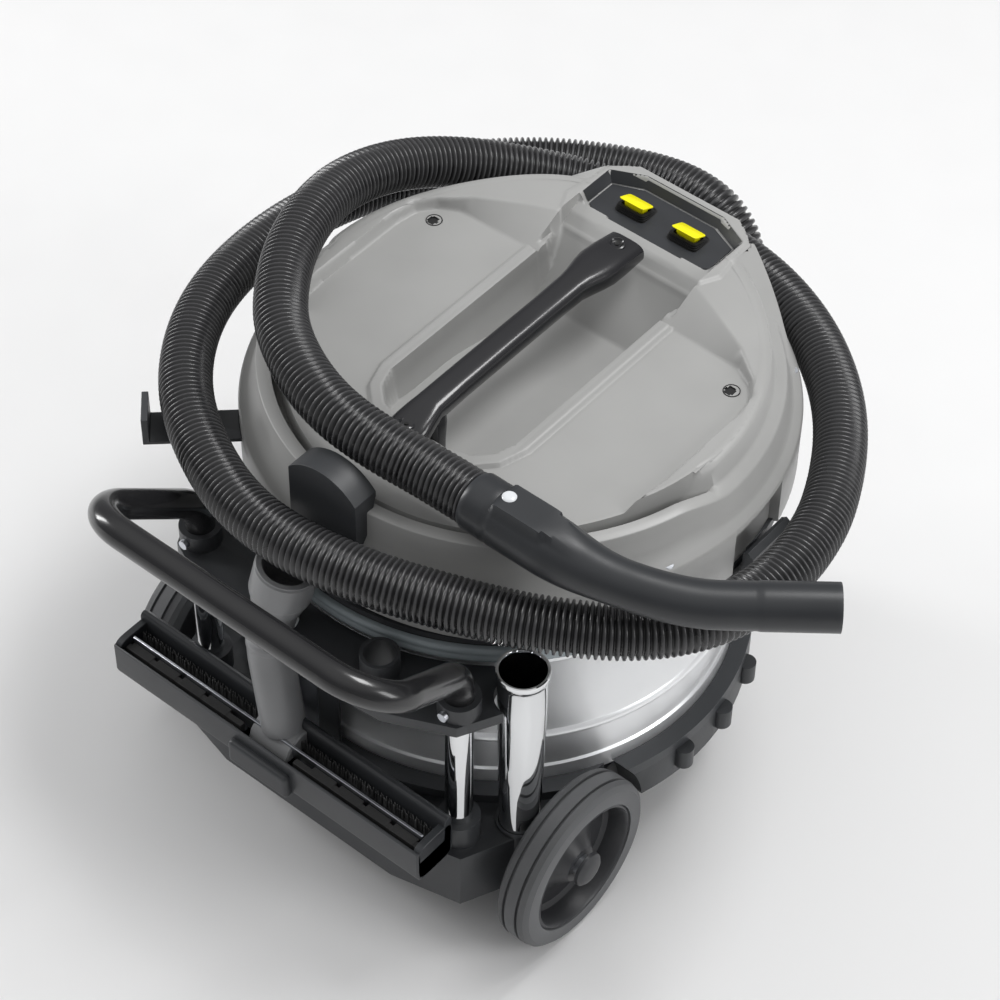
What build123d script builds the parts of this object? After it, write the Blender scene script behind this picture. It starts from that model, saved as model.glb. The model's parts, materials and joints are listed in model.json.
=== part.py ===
from build123d import *
import os
from math import atan2, cos, degrees, pi, radians, sin, tan

# Two-motor wet and dry vacuum cleaner. Millimetres, +Z up, floor at z = 0.
# The container's axis is the Z axis. The front is -Y, the push bow is at +Y.

# ---- driving dimensions ----
TANK_R = 220.0            # outer radius of the steel container
TANK_WALL = 1.5
TANK_Z = (126.0, 322.0)   # underside and open rim of the container
BAND_R = 227.0            # clamping band round the rim

HEAD_Y = -28.0            # centre of the head, a little ahead of the container
SKIRT_R = 248.0
SKIRT_Z = (330.0, 385.0)
TOP_R = (236.0, 220.0)    # radius of the upper body, at its foot and its top
TOP_Z = 440.0
COVER_WALL = 4.0
TRAY_Z = 430.0
WELL_Z = 392.0            # floor of the hollow under the carry handle
WELL_X = 70.0
WELL_Y = (-176.0, 105.0)
PROW_Y = -268.0           # front face of the switch housing
PROW_X = 78.0
PROW_Z = 452.0
PANEL_Z = 442.0
PANEL_OUTLINE = [(40, -252), (68, -240), (68, -206), (42, -190)]
ROCKER_X = 29.5
ROCKER_Y = -226.0
MOTOR_X = 128.0
MOTOR_R = 52.0
SHAFT_R = 5.0
GLAND_Z = 356.0
GLAND_ANGLE = -38.0       # where the cable gland stands on the skirt

HOOK_X = (-24.0, 50.0)    # thick arched block behind the head's upper edge
HOOK_Y = (190.0, 216.0)
HOOK_TOP_Z = 464.0
HOOK_ARCH_R = 48.0

LATCH_Y = -50.0
LATCH_PIN = (238.0, 290.0)
LATCH_PIN_R = 4.0

CHASSIS_R = 239.0
CHASSIS_Z = (92.0, 138.0)  # underside of the dish and top of its rim
RIM_GAP = 0.3
WHEEL_R = 85.0
WHEEL_X = (203.0, 238.0)  # inner and outer side of a rear wheel
WHEEL_Y = 163.5
AXLE_R = 10.0
CASTOR_XY = (130.0, -140.0)
CASTOR_TRAIL = 24.0
CASTOR_R = 36.0
RUNNING = 0.05            # radial clearance of a turning fit

POST_X = 148.0
POST_Y = 230.0
POST_R = 12.5
SHELF_Z = (288.0, 300.0)
COLLAR_XY = (-70.0, 241.0)
COLLAR_R = (17.5, 14.0)
BOW_R = 13.5
BOW_REAR_Y = 348.0      # puts the bow as far behind the origin as the inlet is ahead of it
BOW_TOP_Z = 428.0
TUBE_XY = (-180.0, 186.0)  # chromed suction tube, standing in its cup
TUBE_Z = (105.0, 336.0)
TUBE_FOOT_R = 18.6
TUBE_MOUTH_R = 23.6
TUBE_BORE_R = 20.0
CUP_TOP_Z = 132.0
CUP_R = 21.5

HOSE_D = 48.0
HOSE_ROUTE = [
    (-104, 159, 467), (-60, 159, 467), (-8, 166, 472), (46, 165, 476), (98, 148, 477),
    (146, 119, 476), (180, 82, 474), (209, 38, 472), (231, -15, 468), (242, -72, 458),
    (235, -132, 443), (211, -187, 424), (172, -236, 403), (120, -278, 386), (54, -301, 375),
    (-16, -303, 371), (-82, -293, 370), (-142, -267, 370), (-194, -228, 373), (-238, -180, 378),
    (-275, -120, 384), (-303, -55, 391), (-313, 20, 397), (-298, 90, 400), (-258, 144, 402),
    (-196, 185, 403), (-132, 213, 404), (-60, 238, 404), (10, 251, 404), (76, 248, 403),
    (140, 224, 402), (204, 184, 400), (252, 130, 396), (286, 66, 390), (302, -10, 384),
    (303, -90, 376), (286, -168, 368), (250, -240, 362), (198, -296, 360), (140, -332, 360),
    (92, -348, 363), (52, -351, 366), (16, -349, 360), (-9, -345, 335), (-16, -334, 302),
    (-16, -334, 272),
]
INLET_XY = (-16.0, -334.0)
INLET_Z = 205.0           # axis of the inlet pipe through the container wall
INLET_MOUTH_Z = 248.0
INLET_PIPE_R = 26.0
INLET_UPRIGHT_R = 27.5
FLANGE_R = 44.0
SPIGOT_R = 24.4
SPIGOT_CLEARANCE = 0.1

HAND_ROUTE = [(-104, 159, 467), (-232, 159, 467), (-300, 132, 460), (-395, 56, 460)]
HAND_R = (26.0, 20.0)     # outer radius at the cuff and along the tube
HAND_BORE_R = 17.0
BUTTON_XY = (-140.0, 159.0)
BUTTON_R = 6.5
BUTTON_Z = (486.0, 492.0)

NOZZLE_X = 20.0
HUB_X = 20.0              # middle of the nozzle's hub
NECK_ROUTE = [(22, 268, 176), (45, 258.5, 270), (25, 248.5, 370)]
NECK_BEND_R = 200.0
NECK_R = 20.0
NECK_BORE_R = 21.0
NECK_AT_SHELF = (38.5, 256.0)
HINGE_YZ = (269.0, 160.0)
NOZZLE_WIDTH = 362.0


# ---- small helpers ----
def rod(radius, z0, z1, x=0.0, y=0.0):
    return Pos(x, y, (z0 + z1) / 2) * Cylinder(radius, z1 - z0)


def ring(outer, inner, z0, z1, x=0.0, y=0.0):
    return rod(outer, z0, z1, x, y) - rod(inner, z0 - 1, z1 + 1, x, y)


def block(x0, x1, y0, y1, z0, z1):
    return Pos((x0 + x1) / 2, (y0 + y1) / 2, (z0 + z1) / 2) * Box(abs(x1 - x0), y1 - y0, z1 - z0)


def rod_x(radius, x0, x1, y, z):
    return Pos((x0 + x1) / 2, y, z) * Rot(0, 90, 0) * Cylinder(radius, abs(x1 - x0))


def rod_y(radius, y0, y1, x, z):
    return Pos(x, (y0 + y1) / 2, z) * Rot(90, 0, 0) * Cylinder(radius, y1 - y0)


def cone(r0, r1, z0, z1, x=0.0, y=0.0):
    return Pos(x, y, (z0 + z1) / 2) * Cone(r0, r1, z1 - z0)


def slab(points, z0, z1):
    return Pos(0, 0, z0) * extrude(make_face(Polyline(points, close=True)), z1 - z0)


def plate_yz(points, x0, x1):
    face = make_face(Polyline([(0, y, z) for y, z in points], close=True))
    return Pos(x0, 0, 0) * extrude(face, amount=x1 - x0, dir=(1, 0, 0))


def turned(points):
    return revolve(make_face(Polyline([(r, 0, z) for r, z in points], close=True)), Axis.Z)


def mirrored(points):
    return points + [(-x, y) for x, y in reversed(points)]


def bent_tube(points, radii, outer, inner=0.0):
    path = FilletPolyline(*points, radius=radii)
    start = Plane(path @ 0, z_dir=path % 0)
    tube = sweep(start * Circle(outer), path=path)
    if inner > 0:
        tube -= sweep(start * Circle(inner), path=path)
    return tube


def angled_rod(start, end, radius):
    line = Line(start, end)
    return sweep(Plane(line @ 0, z_dir=line % 0) * Circle(radius), path=line)


def head_polar(angle):
    return Pos(0, HEAD_Y, 0) * Rot(0, 0, angle)


def write(name, shape):
    shape.label = name
    export_step(shape, f"parts/{name}.step")


# ---- chassis, container and rear rack ----
def make_chassis():
    dish = rod(CHASSIS_R, CHASSIS_Z[0], TANK_Z[0])
    tail = slab(mirrored([(190, 60), (190, 205), (168, 252), (100, 268)]), 62, 128)
    body = dish + tail
    body -= rod(CHASSIS_R + RIM_GAP, TANK_Z[0], 200)
    body -= rod(196, 60, 118)
    body -= slab(mirrored([(182, 150), (182, 200), (162, 243), (98, 260)]), 61, 120)
    body += block(-192, 192, WHEEL_Y - 16, WHEEL_Y + 16, WHEEL_R - 16, WHEEL_R + 16)
    for side in (-1, 1):
        body += rod(19, 92, 155, side * POST_X, POST_Y)
    body += rod(CUP_R, 92, CUP_TOP_Z, *TUBE_XY)
    body += rod(CHASSIS_R - 60, 118, TANK_Z[0])
    for side in (-1, 1):
        body += rod(26, CHASSIS_Z[0], 122, side * CASTOR_XY[0], CASTOR_XY[1])
        for angle in (-62, -48, -34):
            x = side * (CHASSIS_R + 2) * cos(radians(angle + 40))
            y = (CHASSIS_R + 2) * sin(radians(angle + 40))
            body += rod(9, 104, TANK_Z[0], x, y)
    body -= rod_x(AXLE_R, -210, 210, WHEEL_Y, WHEEL_R)
    for side in (-1, 1):
        body -= rod_x(WHEEL_R + 8, side * (WHEEL_X[0] - 1.4), side * 260, WHEEL_Y, WHEEL_R)
        body -= rod(POST_R, 100, 160, side * POST_X, POST_Y)
        body -= rod(6 + RUNNING, 80, 116, side * CASTOR_XY[0], CASTOR_XY[1])
    body -= rod(TUBE_FOOT_R + 0.4, TUBE_Z[0], 200, *TUBE_XY)
    return body


def make_chassis_rim():
    rim = ring(CHASSIS_R, TANK_R + 2.6, TANK_Z[0], CHASSIS_Z[1])
    for side in (-1, 1):
        rim -= rod_x(WHEEL_R + 8, side * (WHEEL_X[0] - 1.4), side * 260, WHEEL_Y, WHEEL_R)
        rim -= rod(19 + RIM_GAP, 100, 200, side * POST_X, POST_Y)
    return rim - rod(CUP_R + RIM_GAP, 100, 200, *TUBE_XY)


def make_container():
    r = TANK_R
    w = TANK_WALL
    z0, z1 = TANK_Z
    outside = [(0, z0), (r - 8, z0), (r + 2, z0 + 8), (r + 2, z0 + 26), (r, z0 + 28), (r, 190)]
    outside += [(r + 3, 194), (r + 3, 198), (r, 202), (r, z1)]
    inside = [(r - w, z1), (r - w, 202), (r - w, z0 + 28), (r - w, z0 + 9), (r - 9, z0 + w), (0, z0 + w)]
    shell = turned(outside + inside)
    flange_seat = rod_y(FLANGE_R, -r - 20, -r + 60, INLET_XY[0], INLET_Z) - rod(r, 100, 300)
    return shell - flange_seat - rod_y(INLET_PIPE_R, -r - 10, -r + 30, INLET_XY[0], INLET_Z)


def make_container_band():
    outer = [(BAND_R - 2, 304), (BAND_R, 308), (BAND_R, 316), (BAND_R - 2, 321)]
    return turned([(TANK_R, 304)] + outer + [(TANK_R, 321)])


def make_inlet_elbow():
    x, y = INLET_XY
    pipe = rod_y(INLET_PIPE_R, y, -TANK_R + 12, x, INLET_Z)
    upright = rod(INLET_UPRIGHT_R, INLET_Z, INLET_MOUTH_Z, x, y)
    elbow = pipe + upright + Pos(x, y, INLET_Z) * Sphere(INLET_UPRIGHT_R)
    flange = rod_y(FLANGE_R, -TANK_R - 12, -TANK_R + 4, x, INLET_Z) - rod(TANK_R, 100, 300)
    elbow += flange
    elbow -= rod_y(22, y, -TANK_R + 20, x, INLET_Z)
    elbow -= rod(22, INLET_Z, 300, x, y)
    elbow -= rod(SPIGOT_R + SPIGOT_CLEARANCE, INLET_MOUTH_Z - 34, 300, x, y)
    return elbow


def make_rear_axle():
    x = WHEEL_X[1] + 4
    return rod_x(AXLE_R, -x, x, WHEEL_Y, WHEEL_R)


def make_post(side):
    return rod(POST_R, 100, SHELF_Z[0], side * POST_X, POST_Y)


def make_tube_shelf():
    z0, z1 = SHELF_Z
    plate = slab(mirrored([(182, 176), (182, 206), (160, 248), (100, 276), (40, 281)]), z0, z1)
    plate += ring(*COLLAR_R, z0, 322, *COLLAR_XY)
    for side in (-1, 1):
        plate += rod(19, z0, 318, side * POST_X, POST_Y)
    plate -= rod(TANK_R + 5, 200, 400)
    plate -= rod(COLLAR_R[1], 200, 400, *COLLAR_XY)
    plate -= rod(24.2, 200, 400, *TUBE_XY)
    slot_x = NECK_AT_SHELF[0]
    plate -= rod(NECK_R + 2.5, 200, 400, slot_x, NECK_AT_SHELF[1])
    plate -= block(slot_x - NECK_R - 2.5, slot_x + NECK_R + 2.5, NECK_AT_SHELF[1], 300, 200, 400)
    for side in (-1, 1):
        plate -= rod(BOW_R, z1, 400, side * POST_X, POST_Y)
    return plate


def make_push_bow():
    half = [(POST_X, POST_Y, SHELF_Z[1]), (POST_X, POST_Y, 344), (166, BOW_REAR_Y, BOW_TOP_Z)]
    points = half + [(-x, y, z) for x, y, z in reversed(half)]
    return bent_tube(points, [40, 46, 46, 40], BOW_R, 11.5)


def make_bow_screws():
    heads = [rod_y(4.5, POST_Y + 19, POST_Y + 23, side * POST_X, 309) for side in (-1, 1)]
    return Compound(heads)


# ---- rear wheels and front castors ----
def make_tyre(side):
    x0, x1 = WHEEL_X
    tyre = rod_x(WHEEL_R, side * x0, side * x1, WHEEL_Y, WHEEL_R)
    tyre -= rod_x(WHEEL_R - 20, side * (x0 - 1), side * (x1 + 1), WHEEL_Y, WHEEL_R)
    mid = side * (x0 + x1) / 2
    for offset in (-7, 7):
        groove = rod_x(WHEEL_R + 1, mid + offset - 1.5, mid + offset + 1.5, WHEEL_Y, WHEEL_R)
        groove -= rod_x(WHEEL_R - 3, mid + offset - 2, mid + offset + 2, WHEEL_Y, WHEEL_R)
        tyre -= groove
    return tyre


def make_hub(side):
    x0, x1 = WHEEL_X
    y, z = WHEEL_Y, WHEEL_R
    hub = rod_x(WHEEL_R - 20, side * (x0 + 2), side * (x1 - 2), y, z)
    hub -= rod_x(WHEEL_R - 27, side * (x1 - 12), side * (x1 + 2), y, z)
    hub += rod_x(24, side * (x0 + 2), side * (x1 - 1), y, z)
    return hub - rod_x(AXLE_R + RUNNING, side * (x0 - 5), side * (x1 + 5), y, z)


def make_axle_caps():
    x = WHEEL_X[1]
    caps = []
    for side in (-1, 1):
        cap = rod_x(17, side * (x + 0.5), side * (x + 8), WHEEL_Y, WHEEL_R)
        caps.append(cap - rod_x(AXLE_R, side * (x - 1), side * (x + 4), WHEEL_Y, WHEEL_R))
    return Compound(caps)


def make_castor_fork(side):
    x, y = side * CASTOR_XY[0], CASTOR_XY[1]
    wheel_y = y + CASTOR_TRAIL
    fork = rod(24, 80, 91.5, x, y)
    fork += rod(6, 91, 114, x, y)
    profile = [(y - 18, 82), (y + 20, 82), (wheel_y + 9, CASTOR_R + 10), (wheel_y + 9, CASTOR_R - 9)]
    profile += [(wheel_y - 9, CASTOR_R - 9), (wheel_y - 10, CASTOR_R + 12)]
    for cheek in (-1, 1):
        fork += plate_yz(profile, x + cheek * 14.5 - 1.5, x + cheek * 14.5 + 1.5)
    return fork - rod_x(4.0, x - 30, x + 30, wheel_y, CASTOR_R)


def make_castor_wheel(side):
    x = side * CASTOR_XY[0]
    y = CASTOR_XY[1] + CASTOR_TRAIL
    wheel = rod_x(CASTOR_R, x - 11, x + 11, y, CASTOR_R)
    return wheel - rod_x(4 + RUNNING, x - 20, x + 20, y, CASTOR_R)


def make_castor_axle(side):
    x = side * CASTOR_XY[0]
    return rod_x(4.0, x - 18, x + 18, CASTOR_XY[1] + CASTOR_TRAIL, CASTOR_R)


# ---- latches that clamp the head ----
def make_latch_bracket(side):
    x, z = LATCH_PIN
    bracket = block(side * 214, side * 230, LATCH_Y - 38, LATCH_Y + 38, z - 16, z + 10)
    for lug in (-1, 1):
        y = LATCH_Y + lug * 34
        bracket += block(side * 214, side * (x + 8), y - 4, y + 4, z - 12, z + 8)
    bracket -= rod(TANK_R, 200, 400)
    return bracket - rod_y(LATCH_PIN_R, LATCH_Y - 45, LATCH_Y + 45, side * x, z)


def make_latch_pin(side):
    x, z = LATCH_PIN
    return rod_y(LATCH_PIN_R, LATCH_Y - 38, LATCH_Y + 38, side * x, z)


def make_latch(side):
    x, z = LATCH_PIN
    y0, y1 = LATCH_Y - 28, LATCH_Y + 28
    profile = [(x - 5.4, z - 5.4), (x + 8, z - 5.4), (x + 13, z + 8), (x + 23, 334), (x + 23, 352)]
    profile += [(x + 17, 356), (x + 12, 352), (x + 12, 334), (x + 4, 306), (x - 5.4, z + 5.4)]
    face = make_face(Polyline([(side * px, 0, pz) for px, pz in profile], close=True))
    plate = extrude(face, amount=y1 - y0, dir=(0, 1, 0))
    plate = Pos(0, y0, 0) * plate
    return plate - rod_y(LATCH_PIN_R + RUNNING, y0 - 2, y1 + 2, side * x, z)


# ---- head: base, cover and what is on it ----
def make_head_base():
    plate = rod(SKIRT_R - COVER_WALL - 0.5, 324.5, 334, 0, HEAD_Y) + rod(223, 324.5, SKIRT_Z[0])
    plate += rod(TANK_R - 4, 312, 326)
    plate += ring(96, 88, 300, 314)
    plate -= rod(86, 300, 318)
    plate -= rod(22, 300, 340)
    for side in (-1, 1):
        plate -= rod(46, 326, 340, side * MOTOR_X, HEAD_Y)
    plate -= latch_room(-1) + latch_room(1)
    return plate


def latch_room(side):
    x = LATCH_PIN[0]
    return block(side * (x + 1), side * 300, LATCH_Y - 34, LATCH_Y + 34, 300, 366)


def make_head_seal():
    return ring(TANK_R + 2, TANK_R - 4, 322, 324.5)


def head_outside():
    body = rod(SKIRT_R, *SKIRT_Z, y=HEAD_Y)
    body += cone(TOP_R[0], TOP_R[1], SKIRT_Z[1], TOP_Z, y=HEAD_Y)
    prow = [(60, PROW_Y), (PROW_X, PROW_Y + 18), (PROW_X + 14, -190), (PROW_X, -150)]
    body += slab(mirrored(prow), 344, PROW_Z)
    return body


def well(grow=0.0):
    y0, y1 = WELL_Y
    x = WELL_X + grow
    corner = 45
    outline = [(x, y0 - grow), (x, y1 - corner), (x - corner * 0.6, y1 + grow)]
    return slab(mirrored(outline), WELL_Z - grow, 500)


def tray(side):
    inner = WELL_X + 8
    outline = [(inner, -130), (152, -130), (180, -112), (190, -80), (194, 0), (182, 76), (inner, 100)]
    return slab([(side * x, y) for x, y in outline], TRAY_Z, 500)


def make_head_cover():
    body = head_outside()
    hollow = rod(SKIRT_R - COVER_WALL, 320, SKIRT_Z[1] - COVER_WALL, y=HEAD_Y)
    hollow += cone(TOP_R[0] - 5, TOP_R[1] - 3, SKIRT_Z[1] - 5, TRAY_Z - COVER_WALL, y=HEAD_Y)
    hollow += slab(mirrored([(PROW_X - 8, PROW_Y + 26), (PROW_X, -195)]), 348, PANEL_Z - 14)
    body -= hollow - well(COVER_WALL)
    body -= well()
    body -= tray(-1) + tray(1)
    body -= slab(mirrored(PANEL_OUTLINE), PANEL_Z - 3, 500)
    for side in (-1, 1):
        body -= rod(7.5, 400, 470, side * 166, -106)
        body -= switch_cutout(side)
    body -= latch_room(-1) + latch_room(1)
    return body - head_polar(GLAND_ANGLE) * rod_x(9, 200, 260, 0, GLAND_Z)


def switch_cutout(side):
    x = side * ROCKER_X
    return block(x - 14.5, x + 14.5, ROCKER_Y - 10, ROCKER_Y + 10, PANEL_Z - 30, PANEL_Z + 5)


def make_switch_panel():
    panel = slab(mirrored(PANEL_OUTLINE), PANEL_Z - 3, PANEL_Z)
    for side in (-1, 1):
        panel -= switch_cutout(side)
    return panel


def make_bezel(side):
    x = side * ROCKER_X
    y = ROCKER_Y
    frame = block(x - 14.4, x + 14.4, y - 9.9, y + 9.9, PANEL_Z - 16, PANEL_Z + 1)
    frame += block(x - 17, x + 17, y - 13, y + 13, PANEL_Z, PANEL_Z + 3)
    frame -= block(x - 12, x + 12, y - 8, y + 8, PANEL_Z - 14, PANEL_Z + 10)
    return frame - rod_x(1.5, x - 13.5, x + 13.5, y, PANEL_Z - 6)


def make_rocker(side):
    x = side * ROCKER_X
    y, z = ROCKER_Y, PANEL_Z
    profile = [(y - 6.5, z + 1), (y, z + 3), (y + 5.5, z + 7), (y + 5.5, z), (y + 2, z - 9), (y - 2, z - 9)]
    return plate_yz(profile, x - 11.6, x + 11.6) + rod_x(1.45, x - 13.4, x + 13.4, y, z - 6)


def make_carry_handle():
    bar = block(-13.5, 13.5, -120, 128, 446, 468)
    front = slab(mirrored([(20, WELL_Y[0]), (21, -128), (14, -96)]), 440, 466)
    rear = block(-19, 19, 100, 138, TOP_Z, 462)
    leg = block(-17, 17, 92, WELL_Y[1], 400, 460)
    handle = bar + front + rear + leg
    return handle - rod(4, 458, 480, 0, -159)


def make_handle_screws():
    front = rod(4, 458, 461, 0, -159)
    rear = rod(4, 462, 464, 0, 132)
    return Compound([front, rear])


def make_rear_hook():
    x0, x1 = HOOK_X
    mid = (x0 + x1) / 2
    arch = rod_y(HOOK_ARCH_R, *HOOK_Y, mid, HOOK_TOP_Z - HOOK_ARCH_R)
    tab = block(x0, x1, *HOOK_Y, SKIRT_Z[1], HOOK_TOP_Z) & (arch + block(x0, x1, *HOOK_Y, 380, 436))
    return tab - head_outside()


def make_side_hook():
    angle = degrees(atan2(222, 238))
    bracket = block(226, 312, -18, 18, 368, 372)
    tip = block(306, 312, -18, 18, 368, 398)
    root = block(240, 250, -18, 18, 345, 372)
    hook = Rot(0, 0, angle) * (bracket + tip + root)
    return hook - rod(SKIRT_R, 300, 400, y=HEAD_Y)


def make_motor(side):
    x = side * MOTOR_X
    can = rod(MOTOR_R, 346, 420, x, HEAD_Y) - rod(MOTOR_R - 3, 350, 416, x, HEAD_Y)
    return can - rod(SHAFT_R + RUNNING, 340, 418, x, HEAD_Y)


def make_motor_plate():
    plate = block(-184, 184, HEAD_Y - 40, HEAD_Y + 40, 342, 346)
    for side in (-1, 1):
        plate -= rod(SHAFT_R + 4, 330, 350, side * MOTOR_X, HEAD_Y)
        plate += rod(6, 334, 343, side * 175, HEAD_Y - 30) + rod(6, 334, 343, side * 175, HEAD_Y + 30)
        plate += rod(6, 334, 343, side * 60, HEAD_Y)
    return plate


def make_impeller(side):
    x = side * MOTOR_X
    wheel = rod(42, 329, 331.5, x, HEAD_Y) + rod(12, 329, 338, x, HEAD_Y)
    for step in range(8):
        blade = Pos(x, HEAD_Y, 0) * Rot(0, 0, 45 * step) * block(8, 40, -1.2, 1.2, 331, 338)
        wheel += blade
    return wheel + rod(SHAFT_R, 331, 412, x, HEAD_Y)


def make_filter():
    pleats = []
    count = 36
    for step in range(2 * count):
        radius = 84 if step % 2 == 0 else 72
        angle = pi * step / count
        pleats.append((radius * cos(angle), radius * sin(angle)))
    body = slab(pleats, 222, 312) - rod(62, 200, 330)
    return body + rod(85, 214, 222) - rod(50, 210, 220)


def make_float_cage():
    cage = ring(36, 33, 236, 318)
    for step in range(6):
        cage -= Rot(0, 0, 60 * step) * block(20, 50, -11, 11, 244, 296)
    cage += ring(48, 30, 312, 318)
    cage += rod(36, 232, 236)
    return cage


def make_float():
    return rod(29, 240, 272) + cone(29, 12, 272, 286)


def make_cable_gland():
    gland = rod_x(9, SKIRT_R - COVER_WALL, SKIRT_R + 14, 0, GLAND_Z)
    gland += rod_x(13, SKIRT_R + 0.5, SKIRT_R + 6, 0, GLAND_Z) - rod_x(5, 200, 300, 0, GLAND_Z)
    return head_polar(GLAND_ANGLE) * (gland - rod_x(5, 200, 300, 0, GLAND_Z))


def make_cover_screws():
    screw = rod(4, SKIRT_Z[1], SKIRT_Z[1] + 2.5, SKIRT_R - 6)
    return Compound([head_polar(angle) * screw for angle in (20, 160, 225, 315)])


# ---- hose and hand tube ----
def corner_radii(points):
    vectors = [Vector(*point) for point in points]
    radii = []
    for before, here, after in zip(vectors, vectors[1:], vectors[2:]):
        turn = (here - before).get_angle(after - here)
        run = min((here - before).length, (after - here).length)
        radii.append(0.45 * run / tan(radians(turn / 2)))
    return radii


def make_hose():
    radii = corner_radii(HOSE_ROUTE)
    path = FilletPolyline(*HOSE_ROUTE, radius=radii)
    tube = sweep(Plane(path @ 0, z_dir=path % 0) * Circle(HOSE_D / 2), path=path)
    expected = pi * HOSE_D ** 2 / 4 * path.length
    print("hose radii", [round(radius) for radius in radii])
    print("hose length", round(path.length), "volume ratio", round(tube.volume / expected, 4))
    return tube


def make_hose_connector():
    x, y = INLET_XY
    top = HOSE_ROUTE[-1][2]
    body = rod(SPIGOT_R, INLET_MOUTH_Z - 30, INLET_MOUTH_Z + 2, x, y)
    body += rod(28.5, INLET_MOUTH_Z + 0.5, INLET_MOUTH_Z + 8, x, y)
    body += cone(27, 26, INLET_MOUTH_Z + 8, top, x, y)
    return body - rod(20, 200, 400, x, y)


def make_hand_tube():
    x, y, z = HAND_ROUTE[0]
    cuff = rod_x(HAND_R[0], x, x - 74, y, z)
    neck = Pos(x - 89, y, z) * Rot(0, -90, 0) * Cone(HAND_R[0], HAND_R[1], 30)
    tube = bent_tube(HAND_ROUTE, [90, 90], HAND_R[1])
    hollow = bent_tube(HAND_ROUTE, [90, 90], HAND_BORE_R)
    boss = block(x - 77, x - 19, y - 13, y + 13, z + 16, z + 25)
    body = tube + cuff + neck + boss - hollow
    return body - rod(BUTTON_R + 0.3, BUTTON_Z[0] - 4, z + 40, *BUTTON_XY)


def make_release_button():
    return rod(BUTTON_R, *BUTTON_Z, *BUTTON_XY)


# ---- suction tube and floor nozzle ----
def make_suction_tube():
    x, y = TUBE_XY
    z0, z1 = TUBE_Z
    outside = rod(TUBE_FOOT_R, z0, z0 + 40, x, y)
    outside += cone(TUBE_FOOT_R, TUBE_MOUTH_R - 2, z0 + 40, z1 - 45, x, y)
    outside += rod(TUBE_MOUTH_R - 2, z1 - 45, z1 - 3, x, y) + rod(TUBE_MOUTH_R, z1 - 8, z1, x, y)
    inside = rod(TUBE_FOOT_R - 1.5, z0 - 1, z0 + 41, x, y)
    inside += cone(TUBE_FOOT_R - 1.5, TUBE_MOUTH_R - 4, z0 + 40, z1 - 45, x, y)
    return outside - inside - rod(TUBE_BORE_R, z1 - 46, z1 + 1, x, y)


def make_nozzle_neck():
    top = Vector(*NECK_ROUTE[-1])
    along = (top - Vector(*NECK_ROUTE[-2])).normalized()
    collar = angled_rod(top - along * 36, top, 28) + angled_rod(top - along * 49, top - along * 35, 24)
    drum = rod_x(23, HUB_X - 22, HUB_X + 24, HINGE_YZ[0], HINGE_YZ[1])
    body = bent_tube(NECK_ROUTE, [NECK_BEND_R], NECK_R) + collar + drum
    body -= bent_tube(NECK_ROUTE, [NECK_BEND_R], 16)
    body -= angled_rod(top - along * 44, top + along * 2, NECK_BORE_R)
    return body - rod_x(4 + RUNNING, HUB_X - 60, HUB_X + 60, *HINGE_YZ)


def nozzle_section(x0, x1):
    profile = [(294, 138), (300, 142), (300, 172), (292, 180), (262, 190), (254, 186), (256, 140), (262, 138)]
    return plate_yz(profile, x0, x1)


def make_nozzle_body():
    half = NOZZLE_WIDTH / 2
    bar = nozzle_section(NOZZLE_X - half, NOZZLE_X + half)
    bar -= block(NOZZLE_X - half + 8, NOZZLE_X + half - 8, 266, 288, 168, 200)
    hub = block(HUB_X - 34, HUB_X + 36, 247, 312, 136, 178)
    body = bar + hub
    body -= rod_x(24.0, HUB_X - 22.4, HUB_X + 24.4, *HINGE_YZ)
    body -= block(HUB_X - 22.4, HUB_X + 24.4, 240, 300, HINGE_YZ[1], 220)
    body -= block(HUB_X - 22.4, HUB_X + 30, 240, 300, 179, 220)
    return body - rod_x(4.0, HUB_X - 60, HUB_X + 60, *HINGE_YZ)


def make_nozzle_pivot():
    return rod_x(4.0, HUB_X - 34, HUB_X + 36, *HINGE_YZ)


def strip_pieces(y0, y1, z0, z1):
    half = NOZZLE_WIDTH / 2 - 9
    left = block(NOZZLE_X - half, HUB_X - 37, y0, y1, z0, z1)
    right = block(HUB_X + 37, NOZZLE_X + half, y0, y1, z0, z1)
    return Compound([left, right])


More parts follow.
